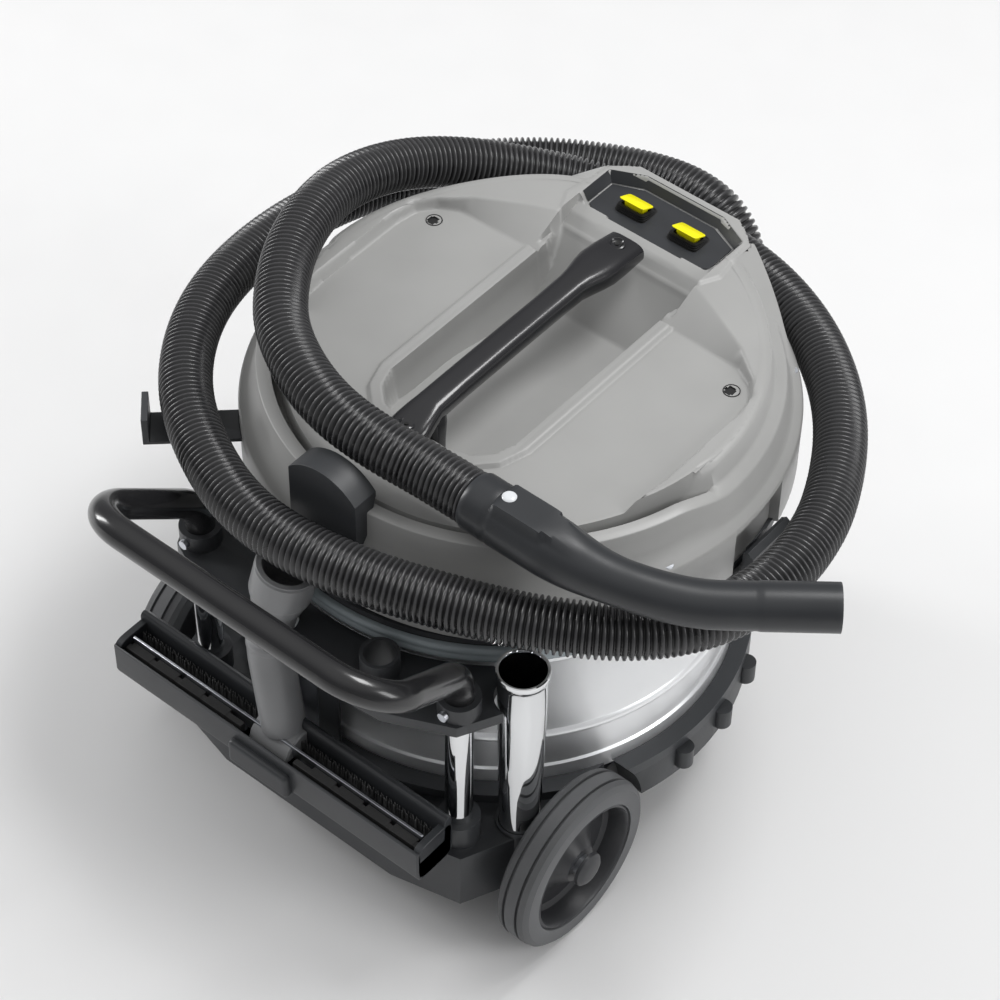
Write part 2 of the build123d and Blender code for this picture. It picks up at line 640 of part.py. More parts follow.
def main():
    os.makedirs("parts", exist_ok=True)
    write("chassis", make_chassis())
    write("chassis_rim", make_chassis_rim())
    write("container", make_container())
    write("container_band", make_container_band())
    write("inlet_elbow", make_inlet_elbow())
    write("rear_axle", make_rear_axle())
    write("tube_shelf", make_tube_shelf())
    write("push_bow", make_push_bow())
    write("bow_screws", make_bow_screws())
    write("axle_caps", make_axle_caps())
    for name, side in (("right", -1), ("left", 1)):
        write(f"post_{name}", make_post(side))
        write(f"tyre_{name}", make_tyre(side))
        write(f"hub_{name}", make_hub(side))
        write(f"castor_fork_{name}", make_castor_fork(side))
        write(f"castor_wheel_{name}", make_castor_wheel(side))
        write(f"castor_axle_{name}", make_castor_axle(side))
        write(f"latch_bracket_{name}", make_latch_bracket(side))
        write(f"latch_pin_{name}", make_latch_pin(side))
        write(f"latch_{name}", make_latch(side))
        write(f"switch_bezel_{name}", make_bezel(side))
        write(f"rocker_{name}", make_rocker(side))
        write(f"motor_{name}", make_motor(side))
        write(f"impeller_{name}", make_impeller(side))
    write("head_base", make_head_base())
    write("head_seal", make_head_seal())
    write("head_cover", make_head_cover())
    write("switch_panel", make_switch_panel())
    write("carry_handle", make_carry_handle())
    write("handle_screws", make_handle_screws())
    write("rear_hook", make_rear_hook())
    write("side_hook", make_side_hook())
    write("motor_plate", make_motor_plate())
    write("filter_cartridge", make_filter())
    write("float_cage", make_float_cage())
    write("float_valve", make_float())
    write("cable_gland", make_cable_gland())
    write("cover_screws", make_cover_screws())
    write("hose", make_hose())
    write("hose_connector", make_hose_connector())
    write("hand_tube", make_hand_tube())
    write("release_button", make_release_button())
    write("suction_tube", make_suction_tube())
    write("nozzle_neck", make_nozzle_neck())
    write("nozzle_body", make_nozzle_body())
    write("nozzle_pivot", make_nozzle_pivot())
    write("nozzle_rubber_strip", strip_pieces(280, 284, 168, 186))
    write("nozzle_brush_strip", strip_pieces(269, 274, 168, 188))


main()
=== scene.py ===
import json
from math import cos, hypot, pi, radians, sin, tau

import bmesh
import bpy
from mathutils import Matrix, Vector


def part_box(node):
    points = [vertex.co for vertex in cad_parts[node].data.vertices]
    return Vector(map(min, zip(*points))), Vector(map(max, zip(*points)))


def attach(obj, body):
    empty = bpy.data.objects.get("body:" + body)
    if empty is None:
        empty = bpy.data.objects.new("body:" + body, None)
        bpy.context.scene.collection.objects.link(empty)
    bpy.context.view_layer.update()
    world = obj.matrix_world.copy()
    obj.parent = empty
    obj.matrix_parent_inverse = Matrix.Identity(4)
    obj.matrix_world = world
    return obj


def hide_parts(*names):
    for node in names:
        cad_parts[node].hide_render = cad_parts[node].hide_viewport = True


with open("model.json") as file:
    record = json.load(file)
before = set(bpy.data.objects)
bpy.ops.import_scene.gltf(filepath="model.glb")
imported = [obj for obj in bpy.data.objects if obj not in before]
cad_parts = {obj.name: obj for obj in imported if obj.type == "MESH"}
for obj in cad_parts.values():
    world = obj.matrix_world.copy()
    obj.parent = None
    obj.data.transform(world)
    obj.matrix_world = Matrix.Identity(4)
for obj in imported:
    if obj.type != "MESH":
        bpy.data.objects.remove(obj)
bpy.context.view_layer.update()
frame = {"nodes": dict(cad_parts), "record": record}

MM = 0.001
NODES = frame["nodes"]
SLOTS = {entry["node"]: entry["material_slot"] for entry in frame["record"]["subparts"]}

# The hose's route from the hand tube's cuff to the inlet, in metres: the same points as in the part.
HOSE_ROUTE = [
    (-0.104, 0.159, 0.467), (-0.060, 0.159, 0.467), (-0.008, 0.166, 0.472), (0.046, 0.165, 0.476),
    (0.098, 0.148, 0.477), (0.146, 0.119, 0.476), (0.180, 0.082, 0.474), (0.209, 0.038, 0.472),
    (0.231, -0.015, 0.468), (0.242, -0.072, 0.458), (0.235, -0.132, 0.443), (0.211, -0.187, 0.424),
    (0.172, -0.236, 0.403), (0.120, -0.278, 0.386), (0.054, -0.301, 0.375), (-0.016, -0.303, 0.371),
    (-0.082, -0.293, 0.370), (-0.142, -0.267, 0.370), (-0.194, -0.228, 0.373), (-0.238, -0.180, 0.378),
    (-0.275, -0.120, 0.384), (-0.303, -0.055, 0.391), (-0.313, 0.020, 0.397), (-0.298, 0.090, 0.400),
    (-0.258, 0.144, 0.402), (-0.196, 0.185, 0.403), (-0.132, 0.213, 0.404), (-0.060, 0.238, 0.404),
    (0.010, 0.251, 0.404), (0.076, 0.248, 0.403), (0.140, 0.224, 0.402), (0.204, 0.184, 0.400),
    (0.252, 0.130, 0.396), (0.286, 0.066, 0.390), (0.302, -0.010, 0.384), (0.303, -0.090, 0.376),
    (0.286, -0.168, 0.368), (0.250, -0.240, 0.362), (0.198, -0.296, 0.360), (0.140, -0.332, 0.360),
    (0.092, -0.348, 0.363), (0.052, -0.351, 0.366), (0.016, -0.349, 0.360), (-0.009, -0.345, 0.335),
    (-0.016, -0.334, 0.302), (-0.016, -0.334, 0.272),
]
HOSE_D = 0.048
HAND_ROUTE = [(-0.104, 0.159, 0.467), (-0.232, 0.159, 0.467), (-0.300, 0.132, 0.460), (-0.395, 0.056, 0.460)]
HEAD_Y = -0.028           # the head's centre


# ---- camera, floor and light ----
CAMERA_LENS = 108
CAMERA_SENSOR = 36
CAMERA_PLACE = (-1.162, 1.428, 2.252)
CAMERA_AIM = (-0.110, 0.134, 0.450)
CAMERA_ROLL = 0.016


def make_camera():
    data = bpy.data.cameras.new("camera")
    data.lens = CAMERA_LENS
    data.sensor_width = CAMERA_SENSOR
    camera = bpy.data.objects.new("camera", data)
    camera.location = CAMERA_PLACE
    aim = Vector(CAMERA_AIM) - camera.location
    camera.rotation_euler = (aim.to_track_quat("-Z", "Y").to_matrix().to_4x4()
                             @ Matrix.Rotation(CAMERA_ROLL, 4, "Z")).to_euler()
    bpy.context.scene.collection.objects.link(camera)
    bpy.context.scene.camera = camera


def make_light(name, place, size, power, aim=(0, 0, 0.3)):
    data = bpy.data.lights.new(name, "AREA")
    data.shape = "RECTANGLE"
    data.size, data.size_y = size
    data.energy = power
    light = bpy.data.objects.new(name, data)
    light.location = place
    light.rotation_euler = (Vector(aim) - light.location).to_track_quat("-Z", "Y").to_euler()
    bpy.context.scene.collection.objects.link(light)


def make_stage():
    bpy.ops.mesh.primitive_plane_add(size=60, location=(0, 0, 0))
    floor = bpy.context.object
    floor.name = "floor"
    floor.data.materials.append(plain_floor())
    make_sky()
    make_light("key", (-0.8, -1.5, 4.0), (1.6, 1.3), 88)
    make_light("right", (-3.2, -0.7, 2.0), (1.0, 1.8), 36)
    make_light("left", (3.3, 1.0, 1.7), (0.6, 1.9), 62)
    bpy.context.scene.view_settings.view_transform = "Standard"


def make_sky():
    """A soft studio dome, bright overhead and darker towards the horizon."""
    world = bpy.data.worlds.new("studio")
    bpy.context.scene.world = world
    world.use_nodes = True
    nodes, links = world.node_tree.nodes, world.node_tree.links
    coords = nodes.new("ShaderNodeTexCoord")
    split = nodes.new("ShaderNodeSeparateXYZ")
    ramp = nodes.new("ShaderNodeValToRGB")
    ramp.color_ramp.elements[0].color = (0.38, 0.38, 0.39, 1)
    ramp.color_ramp.elements[0].position = 0.45
    ramp.color_ramp.elements[1].color = (1, 1, 1, 1)
    ramp.color_ramp.elements[1].position = 0.90
    links.new(coords.outputs["Generated"], split.inputs[0])
    links.new(split.outputs["Z"], ramp.inputs[0])
    background = nodes["Background"]
    background.inputs["Strength"].default_value = 0.68
    links.new(ramp.outputs[0], background.inputs["Color"])


# ---- materials ----
def new_material(name):
    material = bpy.data.materials.new(name)
    material.use_nodes = True
    shader = material.node_tree.nodes["Principled BSDF"]
    return material, material.node_tree.nodes, material.node_tree.links, shader


def noise(nodes, links, scale, detail=3.0, stretch=(1, 1, 1), roughness=0.5):
    coords = nodes.new("ShaderNodeTexCoord")
    mapping = nodes.new("ShaderNodeMapping")
    mapping.inputs["Scale"].default_value = stretch
    texture = nodes.new("ShaderNodeTexNoise")
    texture.inputs["Scale"].default_value = scale
    texture.inputs["Detail"].default_value = detail
    texture.inputs["Roughness"].default_value = roughness
    links.new(coords.outputs["Object"], mapping.inputs[0])
    links.new(mapping.outputs[0], texture.inputs["Vector"])
    return texture.outputs["Fac"]


def ramped(nodes, links, value, low, high, start=0.3, end=0.7):
    ramp = nodes.new("ShaderNodeValToRGB")
    ramp.color_ramp.elements[0].position = start
    ramp.color_ramp.elements[1].position = end
    ramp.color_ramp.elements[0].color = (*low, 1)
    ramp.color_ramp.elements[1].color = (*high, 1)
    links.new(value, ramp.inputs[0])
    return ramp.outputs[0]


def spread(nodes, links, value, low, high):
    span = nodes.new("ShaderNodeMapRange")
    span.inputs["From Min"].default_value = 0.3
    span.inputs["From Max"].default_value = 0.7
    span.inputs["To Min"].default_value = low
    span.inputs["To Max"].default_value = high
    links.new(value, span.inputs["Value"])
    return span.outputs[0]


def add_bump(nodes, links, shader, height, strength, distance):
    bump = nodes.new("ShaderNodeBump")
    bump.inputs["Strength"].default_value = strength
    bump.inputs["Distance"].default_value = distance
    links.new(height, bump.inputs["Height"])
    links.new(bump.outputs[0], shader.inputs["Normal"])


def tint(colour, factor):
    return tuple(min(1.0, channel * factor) for channel in colour)


def surface(name, colour, rough, metallic=0.0, mottle=0.08, grain=900, grain_depth=0.00012,
            stretch=(1, 1, 1), coat=0.0, edge_wear_and_highlight=0.0):
    material, nodes, links, shader = new_material(name)
    shader.inputs["Metallic"].default_value = metallic
    shader.inputs["Coat Weight"].default_value = coat
    patches = noise(nodes, links, 14, 4)
    fine = noise(nodes, links, grain, 2, stretch)
    base = ramped(nodes, links, patches, tint(colour, 1 - mottle), tint(colour, 1 + mottle))
    # Convex edges, found by pointiness, are lightened: edge wear on most materials, and a painted highlight
    # along the hose's rib crests.
    if edge_wear_and_highlight:
        geometry = nodes.new("ShaderNodeNewGeometry")
        edge_wear_and_highlight_mask = ramped(nodes, links, geometry.outputs["Pointiness"], (0, 0, 0), (1, 1, 1), 0.52, 0.60)
        mix = nodes.new("ShaderNodeMix")
        mix.data_type = "RGBA"
        links.new(edge_wear_and_highlight_mask, mix.inputs["Factor"])
        links.new(base, mix.inputs["A"])
        mix.inputs["B"].default_value = (*tint(colour, 1 + edge_wear_and_highlight), 1)
        base = mix.outputs["Result"]
    links.new(base, shader.inputs["Base Color"])
    links.new(spread(nodes, links, patches, rough * 0.88, rough * 1.12), shader.inputs["Roughness"])
    add_bump(nodes, links, shader, fine, 0.35, grain_depth)
    return material


def plain_floor():
    return surface("floor_sheet", (0.80, 0.80, 0.80), 0.7, mottle=0.004, grain=60, grain_depth=0.00005)


def bristles():
    material, nodes, links, shader = new_material("bristles")
    strands = noise(nodes, links, 260, 2, (1, 1, 0.04))
    colour = ramped(nodes, links, strands, (0.008, 0.008, 0.008), (0.10, 0.10, 0.10))
    links.new(colour, shader.inputs["Base Color"])
    shader.inputs["Roughness"].default_value = 0.8
    add_bump(nodes, links, shader, strands, 0.8, 0.0008)
    return material


def pleated_paper():
    material, nodes, links, shader = new_material("pleated_paper")
    fibres = noise(nodes, links, 420, 5, (1, 1, 0.3))
    colour = ramped(nodes, links, fibres, (0.66, 0.62, 0.50), (0.86, 0.83, 0.74))
    links.new(colour, shader.inputs["Base Color"])
    shader.inputs["Roughness"].default_value = 0.9
    add_bump(nodes, links, shader, fibres, 0.5, 0.0003)
    return material


def make_materials():
    brushed = (1, 1, 60)
    return {
        "dark_plastic": surface("dark_plastic", (0.030, 0.032, 0.035), 0.46, grain=1300, edge_wear_and_highlight=0.5),
        "grey_plastic": surface("grey_plastic", (0.350, 0.350, 0.343), 0.42, mottle=0.03, grain=1500,
                                grain_depth=0.00008, edge_wear_and_highlight=0.12),
        "panel_plastic": surface("panel_plastic", (0.028, 0.030, 0.034), 0.38, grain=1400),
        "handle_plastic": surface("handle_plastic", (0.012, 0.012, 0.014), 0.24, grain=500, coat=0.3),
        "tool_plastic": surface("tool_plastic", (0.026, 0.028, 0.031), 0.36, grain=1200, edge_wear_and_highlight=0.6),
        # The hose's strong edge lightening paints a highlight on its rib crests, against the dark valleys.
        "hose_plastic": surface("hose_plastic", (0.022, 0.022, 0.023), 0.26, grain=700, edge_wear_and_highlight=2.0),
        "button_plastic": surface("button_plastic", (0.72, 0.74, 0.76), 0.22, mottle=0.03, grain=400),
        "bezel_plastic": surface("bezel_plastic", (0.012, 0.012, 0.012), 0.4, grain=900),
        "rocker_yellow": surface("rocker_yellow", (0.93, 0.86, 0.004), 0.32, mottle=0.03, grain=500),
        "neck_plastic": surface("neck_plastic", (0.230, 0.233, 0.238), 0.34, grain=1100),
        "hub_plastic": surface("hub_plastic", (0.030, 0.031, 0.034), 0.42, grain=1100, edge_wear_and_highlight=0.5),
        "castor_plastic": surface("castor_plastic", (0.06, 0.06, 0.065), 0.45, grain=800),
        "float_plastic": surface("float_plastic", (0.72, 0.70, 0.64), 0.35, grain=500),
        "steel": surface("brushed_steel", (0.90, 0.91, 0.92), 0.36, 0.85, 0.02, 40, 0.00005, brushed),
        "motor_steel": surface("motor_steel", (0.50, 0.50, 0.52), 0.35, 1.0, 0.06, 60, 0.00006, brushed),
        "zinc": surface("zinc", (0.60, 0.62, 0.66), 0.30, 1.0, 0.10, 500),
        "chrome": surface("chrome", (0.80, 0.81, 0.82), 0.05, 1.0, 0.01, 60, 0.00001),
        "band_coat": surface("band_coat", (0.36, 0.41, 0.43), 0.26, 0.0, 0.05, 900),
        "black_coat": surface("black_coat", (0.012, 0.012, 0.013), 0.24, grain=260,
                              grain_depth=0.0001, coat=0.3),
        "rubber": surface("rubber", (0.016, 0.016, 0.016), 0.70, grain=1000),
        "tyre": surface("tyre", (0.085, 0.087, 0.090), 0.60, mottle=0.15, grain=700, edge_wear_and_highlight=0.5),
        "bristle": bristles(),
        "filter_paper": pleated_paper(),
    }


# ---- mesh helpers ----
def make_object(name, mesh):
    piece = bpy.data.objects.new(name, mesh)
    bpy.context.scene.collection.objects.link(piece)
    return piece


def skin(rings, close_ends=True, join_ends=False):
    """A mesh through rings of equally many points; each ring is closed."""
    mesh = bmesh.new()
    rows = [[mesh.verts.new(point) for point in ring] for ring in rings]
    pairs = list(zip(rows, rows[1:]))
    if join_ends:
        pairs.append((rows[-1], rows[0]))
    count = len(rows[0])
    for low, high in pairs:
        for i in range(count):
            j = (i + 1) % count
            mesh.faces.new((low[i], low[j], high[j], high[i]))
    if close_ends and not join_ends:
        mesh.faces.new(reversed(rows[0]))
        mesh.faces.new(rows[-1])
    return mesh


def to_piece(name, mesh, sharp=35):
    bmesh.ops.recalc_face_normals(mesh, faces=mesh.faces)
    data = bpy.data.meshes.new(name)
    mesh.to_mesh(data)
    mesh.free()
    data.shade_smooth()
    data.set_sharp_from_angle(angle=radians(sharp))
    return make_object(name, data)


def lathe(profile, place=Matrix.Identity(4), count=96, closed=True):
    """Turns (radius, height) pairs round the Z axis of place."""
    rings = []
    for step in range(count):
        angle = tau * step / count
        rings.append([place @ Vector((r * cos(angle), r * sin(angle), z)) for r, z in profile])
    mesh = bmesh.new()
    rows = [[mesh.verts.new(point) for point in ring] for ring in rings]
    size = len(profile)
    for i in range(count):
        low, high = rows[i], rows[(i + 1) % count]
        for j in range(size if closed else size - 1):
            k = (j + 1) % size
            mesh.faces.new((low[j], low[k], high[k], high[j]))
    bmesh.ops.remove_doubles(mesh, verts=mesh.verts, dist=0.000001)
    return mesh


def smooth(low, high, value):
    """0 at low, 1 at high and an even bend between them."""
    part = min(1.0, max(0.0, (value - low) / (high - low)))
    return part * part * (3 - 2 * part)


def join(first, second):
    """Adds the second mesh to the first."""
    data = bpy.data.meshes.new("part")
    second.to_mesh(data)
    second.free()
    first.from_mesh(data)
    bpy.data.meshes.remove(data)
    return first


def axis_x(x, y, z, side=1):
    """A frame at that point whose Z axis runs along X, outwards for that side."""
    return Matrix.Translation((x, y, z)) @ Matrix.Rotation(side * pi / 2, 4, "Y")


def oval(place, half_x, half_y, power=2.0, count=32):
    """A ring round the Z axis of place, from an ellipse (power 2) to a rounded rectangle."""
    ring = []
    for step in range(count):
        angle = tau * (step + 0.5) / count
        c, s = cos(angle), sin(angle)
        x = half_x * abs(c) ** (2 / power) * (1 if c > 0 else -1)
        y = half_y * abs(s) ** (2 / power) * (1 if s > 0 else -1)
        ring.append(place @ Vector((x, y, 0)))
    return ring


def along(points):
    """Frames at each point of a line, turned as little as possible from one to the next."""
    frames = []
    normal = None
    for i, point in enumerate(points):
        ahead = points[min(i + 1, len(points) - 1)] - points[max(i - 1, 0)]
        ahead.normalize()
        if normal is None:
            normal = ahead.orthogonal()
            if abs(ahead.z) < 0.9:
                normal = Vector((0, 0, 1)) - ahead * ahead.z
        normal = (normal - ahead * normal.dot(ahead)).normalized()
        side = ahead.cross(normal)
        frames.append(Matrix.Translation(point) @ Matrix((normal, side, ahead)).transposed().to_4x4())
    return frames


def spline_points(route, name):
    """Points along the smooth line that the route controls."""
    curve = bpy.data.curves.new(name, "CURVE")
    curve.dimensions = "3D"
    curve.resolution_u = 16
    spline = curve.splines.new("NURBS")
    spline.points.add(len(route) - 1)
    for point, place in zip(spline.points, route):
        point.co = (*place, 1)
    spline.order_u = 3
    spline.use_endpoint_u = True
    line = make_object(name, curve)
    bpy.context.view_layer.update()
    mesh = bpy.data.meshes.new_from_object(line.evaluated_get(bpy.context.evaluated_depsgraph_get()))
    points = [vertex.co.copy() for vertex in mesh.vertices]
    bpy.data.objects.remove(line)
    bpy.data.meshes.remove(mesh)
    return points


def evenly(points, step):
    """The same line with points an equal distance apart."""
    lengths = [0.0]
    for a, b in zip(points, points[1:]):
        lengths.append(lengths[-1] + (b - a).length)
    count = max(2, round(lengths[-1] / step))
    result = []
    index = 0
    for k in range(count + 1):
        target = lengths[-1] * k / count
        while index < len(points) - 2 and lengths[index + 1] < target:
            index += 1
        part = (target - lengths[index]) / max(lengths[index + 1] - lengths[index], 1e-9)
        result.append(points[index].lerp(points[index + 1], part))
    return result, lengths[-1]


def bevel(piece, width, segments=2, angle=32):
    modifier = piece.modifiers.new("edges", "BEVEL")
    modifier.width = width
    modifier.segments = segments
    modifier.limit_method = "ANGLE"
    modifier.angle_limit = radians(angle)
    modifier.harden_normals = False
    modifier.use_clamp_overlap = True


def softened(node, width=0.0012, sharp=40):
    """A copy of a CAD node's shape with its edges rounded as moulding leaves them."""
    mesh = bmesh.new()
    mesh.from_mesh(NODES[node].data)
    bmesh.ops.remove_doubles(mesh, verts=mesh.verts, dist=0.00002)
    bmesh.ops.dissolve_limit(mesh, angle_limit=radians(0.6), verts=mesh.verts, edges=mesh.edges)
    piece = to_piece(f"{node}_body", mesh, sharp)
    bevel(piece, width)
    return piece


def softened_block(name, xs, ys, zs, radius):
    mesh = bmesh.new()
    bmesh.ops.create_cube(mesh, size=1)
    for vertex in mesh.verts:
        vertex.co = Vector((xs[0] if vertex.co.x < 0 else xs[1],
                            ys[0] if vertex.co.y < 0 else ys[1],
                            zs[0] if vertex.co.z < 0 else zs[1]))
    bmesh.ops.bevel(mesh, geom=list(mesh.edges), offset=radius, segments=4, profile=0.6, affect="EDGES")
    return to_piece(name, mesh, 40)


def finish_piece(piece, body, slot, *nodes):
    piece.data.materials.clear()
    piece.data.materials.append(MATERIALS[slot])
    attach(piece, body)
    if nodes:
        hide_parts(*nodes)
    return piece


# ---- the hose and the hand tube on its end ----
RIB_PITCH = 0.0054
RIB_DEPTHS = (0.0005, 0.0, 0.0005, 0.0040, 0.0040)     # below the crest, over one rib


def make_hose():
    line = spline_points([Vector(place) for place in reversed(HOSE_ROUTE)], "hose_route")
    steps = len(RIB_DEPTHS)
    points, length = evenly(line, RIB_PITCH / steps)
    rings = []
    for step, place in enumerate(along(points)):
        radius = HOSE_D / 2 - RIB_DEPTHS[step % steps]
        rings.append(oval(place, radius, radius, count=32))
    hose = to_piece("hose_ribbed", skin(rings), sharp=75)
    finish_piece(hose, "head", "hose_plastic", "hose")
    return hose, points, length


def make_hand_tube():
    route = [Vector(place) for place in HAND_ROUTE]
    route.insert(1, route[0].lerp(route[1], 0.5))
    route.insert(4, route[3].lerp(route[4], 0.45))
    points, length = evenly(spline_points(route, "hand_route"), 0.003)
    rings = []
    for step, place in enumerate(along(points)):
        s = length * step / (len(points) - 1)
        rings.append(hand_section(place, s, length))
    mouth = along(points)[-1]
    for depth, radius in ((0.0, 0.0172), (-0.003, 0.0168), (-0.05, 0.0168)):
        rings.append(oval(mouth @ Matrix.Translation((0, 0, depth)), radius, radius, count=48))
    tube = to_piece("hand_tube_grip", skin(rings), sharp=50)
    return finish_piece(tube, "head", "tool_plastic", "hand_tube")


def hand_section(place, s, length):
    """The tube's section at a distance s from the cuff: a wide cuff with a flat boss on top, then round."""
    cuff = 0.026
    if s < 0.0025:
        cuff = 0.0245
    elif 0.0245 < s < 0.0275:
        cuff = 0.0250
    elif s > 0.0275:
        cuff = 0.0262
    slim = smooth(0.074, 0.150, s)
    radius = cuff + (0.0200 - cuff) * slim
    if s > length - 0.066:
        radius += 0.0006
    ring = oval(place, radius, radius, count=48)
    boss = smooth(0.026, 0.032, s) * (1 - smooth(0.070, 0.115, s))
    back = place.inverted()
    shaped = []
    for point in ring:
        local = back @ point
        if local.x > 0 and boss > 0:
            wide = 0.0150 - 0.004 * smooth(0.070, 0.115, s)
            if abs(local.y) < wide:
                local.x = max(local.x, local.x + (0.0283 - local.x) * boss)
        shaped.append(place @ local)
    return shaped


def make_release_button():
    low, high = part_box("release_button")
    centre = (low + high) / 2
    top = high.z + 0.0050
    profile = [(0, low.z), (0.0062, low.z), (0.0062, top - 0.0014)]
    profile += [(0.0052, top - 0.0004), (0.003, top), (0, top)]
    button = to_piece("release_button_cap", lathe(profile, Matrix.Translation((centre.x, centre.y, 0)), 48))
    return finish_piece(button, "release_button", "button_plastic", "release_button")


def make_hose_connector():
    low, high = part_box("hose_connector")
    centre = (low + high) / 2
    profile = [(0.0200, low.z), (0.0244, low.z), (0.0244, low.z + 0.0325), (0.0283, low.z + 0.0335)]
    profile += [(0.0285, low.z + 0.036), (0.0280, low.z + 0.0385), (0.0266, low.z + 0.040)]
    for k in range(3):
        z = low.z + 0.043 + 0.005 * k
        profile += [(0.0266, z), (0.0272, z + 0.0008), (0.0272, z + 0.0022), (0.0266, z + 0.003)]
    profile += [(0.0262, high.z), (0.0200, high.z)]
    cuff = to_piece("hose_connector_cuff", lathe(profile, Matrix.Translation((centre.x, centre.y, 0)), 64))
    return finish_piece(cuff, "head", "tool_plastic", "hose_connector")


# ---- the head's cover: a moulded deck with two trays and a deep hollow, and a stepped flank ----
def outline_distance(points, x, y):
    """Signed distance to a closed outline, negative inside."""
    best = 1e9
    inside = False
    for (ax, ay), (bx, by) in zip(points, points[1:] + points[:1]):
        ex, ey = bx - ax, by - ay
        t = max(0.0, min(1.0, ((x - ax) * ex + (y - ay) * ey) / (ex * ex + ey * ey)))
        best = min(best, hypot(x - ax - t * ex, y - ay - t * ey))
        if (ay > y) != (by > y) and x < ax + (y - ay) * ex / ey:
            inside = not inside
    return -best if inside else best


def mirrored(points):
    return points + [(-x, y) for x, y in reversed(points)]


# Outlines on the deck, in millimetres.
WELL = mirrored([(78, -178), (70, -146), (70, 62), (63, 84), (48, 98), (28, 104)])
TRAYS = mirrored([(78, -134), (156, -131), (176, -121), (187, -104), (191, -80), (190, 20), (184, 80),
                  (162, 132), (110, 166), (50, 184)])
PANEL = mirrored([(41, -253), (69, -241), (69, -205), (43, -189)])
PROW = mirrored([(58, -268), (79, -250), (88, -196), (78, -176)])
SHOULDER = mirrored([(76, -174), (118, -156), (151, -143), (176, -124), (192, -98), (192, 0), (60, 60)])
RIM_R = 208.0             # where the deck meets the flank
TRAY_Z = 430.0            # level of the trays
PANEL_Z = 440.5
HOUSING_Z = 452.0         # top of the switch housing
HOLLOW_Z = 394.0          # floor of the hollow under the carry handle
TRAY_HOLE = (168, -107)
DECK_CELL = 1.7           # spacing of the deck's grid


def prow_height(x, y):
    """The switch housing's height, which falls off slowly to the sides and steeply at the front."""
    beyond = outline_distance(PROW, x, y)
    drop = 0.75 if y > -262 else 5.0
    return min(HOUSING_Z, HOUSING_Z - drop * (beyond + 2))


def hollow_height(y):
    """Height of the hollow's floor, which climbs to the panel as a sloping wall."""
    level = HOLLOW_Z - 12 * smooth(0, -80, y) + 10 * smooth(40, 100, y)
    return max(level, 434 - (y + 178))


def deck_height(x, y):
    """Height of the deck in millimetres over a point of it."""
    r = hypot(x, y - HEAD_Y / MM)
    behind = smooth(60, 200, y)
    floor = TRAY_Z - 9 * behind
    tray = outline_distance(TRAYS, x, y)
    ahead = smooth(-112, -128, y)
    side_rise = 11 * smooth(0, 5, tray) * (1 - 0.7 * behind)
    shoulder = outline_distance(SHOULDER, x, y)
    climb = max(0.0, min(1.0, tray / max(1.0, tray - min(0.0, shoulder))))
    front_rise = (20 - 9 * smooth(90, 190, abs(x))) * climb
    height = floor + side_rise * (1 - ahead) + front_rise * ahead
    well = outline_distance(WELL, x, y)
    if y > -134:
        lip = smooth(12.5, 11.0, well)
        height = max(height, floor + 4.0 * lip)
    height = max(height, prow_height(x, y))
    panel = outline_distance(PANEL, x, y)
    if panel < 7:
        height = min(height, PANEL_Z + max(0.0, panel - 1) * 2.1)
    if y > -200 and abs(x) < 76:
        height = min(height, max(433.5, 441.6 - 0.8 * (y + 188)))
        if y < -188 and panel > -9.5:
            height = 444.6 - 0.27 * (y + 199)
    height -= (height - hollow_height(y)) * smooth(0, -5.5, well)
    if r > 236 and prow_height(x, y) < 450:
        height = min(height, 385)
    return height


def make_deck():
    reach = int(250 / DECK_CELL)
    mesh = bmesh.new()
    grid = {}
    for i in range(-reach, reach + 1):
        for j in range(-reach, reach + 1):
            x = i * DECK_CELL
            y = j * DECK_CELL + HEAD_Y / MM
            in_prow = abs(x) < 84 and -268 < y < -150
            edge_r = RIM_R - 0.5 if y > 0 else RIM_R + 3
            if hypot(x, y - HEAD_Y / MM) < edge_r or in_prow:
                grid[i, j] = mesh.verts.new((x * MM, y * MM, deck_height(x, y) * MM))
    for i, j in grid:
        corners = [grid.get(key) for key in ((i, j), (i + 1, j), (i + 1, j + 1), (i, j + 1))]
        beside_hole = abs(i) * DECK_CELL - TRAY_HOLE[0]
        behind_hole = j * DECK_CELL + HEAD_Y / MM - TRAY_HOLE[1]
        if None not in corners and hypot(beside_hole, behind_hole) >= 5.4:
            mesh.faces.new(corners)
    return mesh


# The flat ledge round the back of the flank, as (radius, height) pairs.
LEDGE = [(210.5, 416), (211, 409), (217.5, 409), (218.5, 429.5), (230, 430), (231, 429), (231.5, 403),
         (236, 397)]
LEDGE_FROM = 2            # the flank's first point that the ledge takes over


def flank_rings(angle):
    """Points down the cover's flank at one angle round the head's centre."""
    c, s = cos(angle), sin(angle)
    edge = deck_height(RIM_R * c, RIM_R * s + HEAD_Y / MM)
    profile = [(RIM_R - 3, deck_height((RIM_R - 3) * c, (RIM_R - 3) * s + HEAD_Y / MM) + 0.25)]
    profile += [(RIM_R, edge + 0.25), (213, edge - 0.5), (216, edge - 3)]
    profile += [(219, 422), (222, 419), (230, 416), (232, 413), (236, 396), (238, 392)]
    profile += [(240, 389), (246, 386), (248, 383), (248, 362), (248, 331.5), (244, 330), (243, 334)]
    rear = smooth(0, 60, RIM_R * s)
    shaped = []
    for k, (r, z) in enumerate(profile):
        z = min(z, edge + 0.3)
        if 0 <= k - LEDGE_FROM < len(LEDGE):
            ledge_r, ledge_z = LEDGE[k - LEDGE_FROM]
            r += (ledge_r - r) * rear
            z += (ledge_z - z) * rear
        x, y = r * c, r * s + HEAD_Y / MM
        if RIM_R < r <= 240 and y < -120 and abs(x) > 80:
            z = max(z, prow_height(x, y) + 0.2)
        if abs(r * s + HEAD_Y / MM + 50) < 36 and z < 366:
            r = min(r, 239.5)
        shaped.append((r, z))
    return [Vector((r * c * MM, (r * s) * MM + HEAD_Y, z * MM)) for r, z in shaped]


